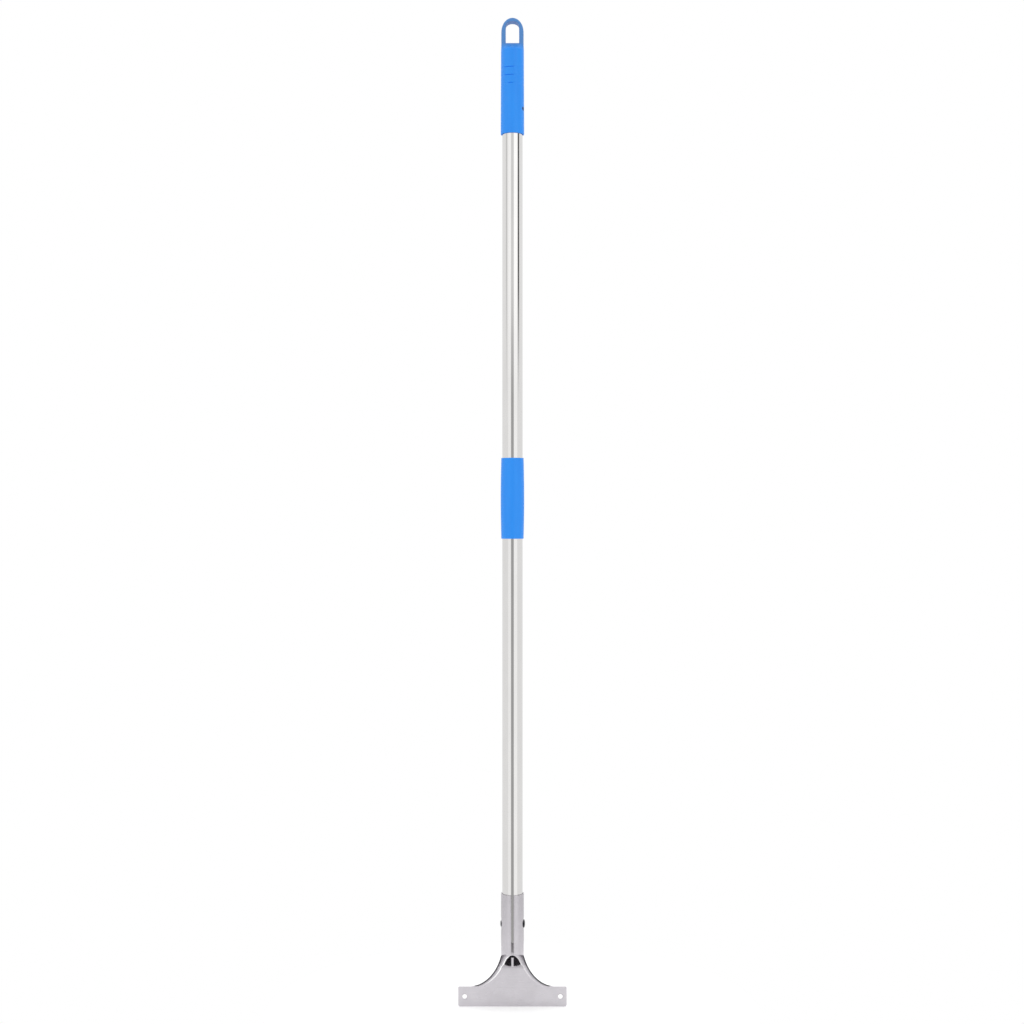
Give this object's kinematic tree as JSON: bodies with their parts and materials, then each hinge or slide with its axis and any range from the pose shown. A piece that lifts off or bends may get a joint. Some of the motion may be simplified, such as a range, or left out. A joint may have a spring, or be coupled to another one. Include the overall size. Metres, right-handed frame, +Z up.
{
  "type": "two-section pole with stamped tool head",
  "caption": "Long steel pole in two screwed sections with blue plastic grips, a hanging loop and a stamped T-shaped steel head for a blade or pad.",
  "frame": {"origin": "on the pole's axis, at the height of the head's bottom edge", "axes": "+Z up along the pole towards the hanging loop, X along the head's width, -Y out of the front face where the sleeve's seam is"},
  "size_m": [0.1332, 0.0288, 1.2115],
  "materials": {
    "blue_grip": "satin moulded",
    "polished_tube": "polished stainless steel",
    "satin_sheet": "satin stamped sheet",
    "rivet_steel": "formed steel",
    "grey_nylon": "moulded nylon",
    "black_rubber": "matt"
  },
  "bodies": {
    "upper_section": {"top_grip": "blue_grip", "top_grip_screw": "rivet_steel", "upper_tube": "polished_tube", "thread_spigot": "grey_nylon", "spigot_pin": "rivet_steel"},
    "washer_ring": {"joint_washer": "black_rubber"},
    "lower_section": {"mid_grip": "blue_grip", "thread_socket": "grey_nylon", "socket_pin": "rivet_steel", "lower_tube": "polished_tube", "tube_plug": "grey_nylon", "head": "satin_sheet", "head_rivet": "rivet_steel"}
  },
  "joints": [
    {"name": "thread_travel", "type": "slide", "parent": "upper_section", "child": "washer_ring", "axis": [0, 0, -1], "range_m": [0, 0.022]},
    {"name": "unscrew", "type": "hinge", "parent": "washer_ring", "child": "lower_section", "pos_m": [0, 0, 0.6239], "axis": [0, 0, -1], "range_deg": [0, 1980]}
  ],
  "couplings": [
    {"joint": "thread_travel", "follows": "unscrew", "m_per_rad": 0.00063661}
  ]
}
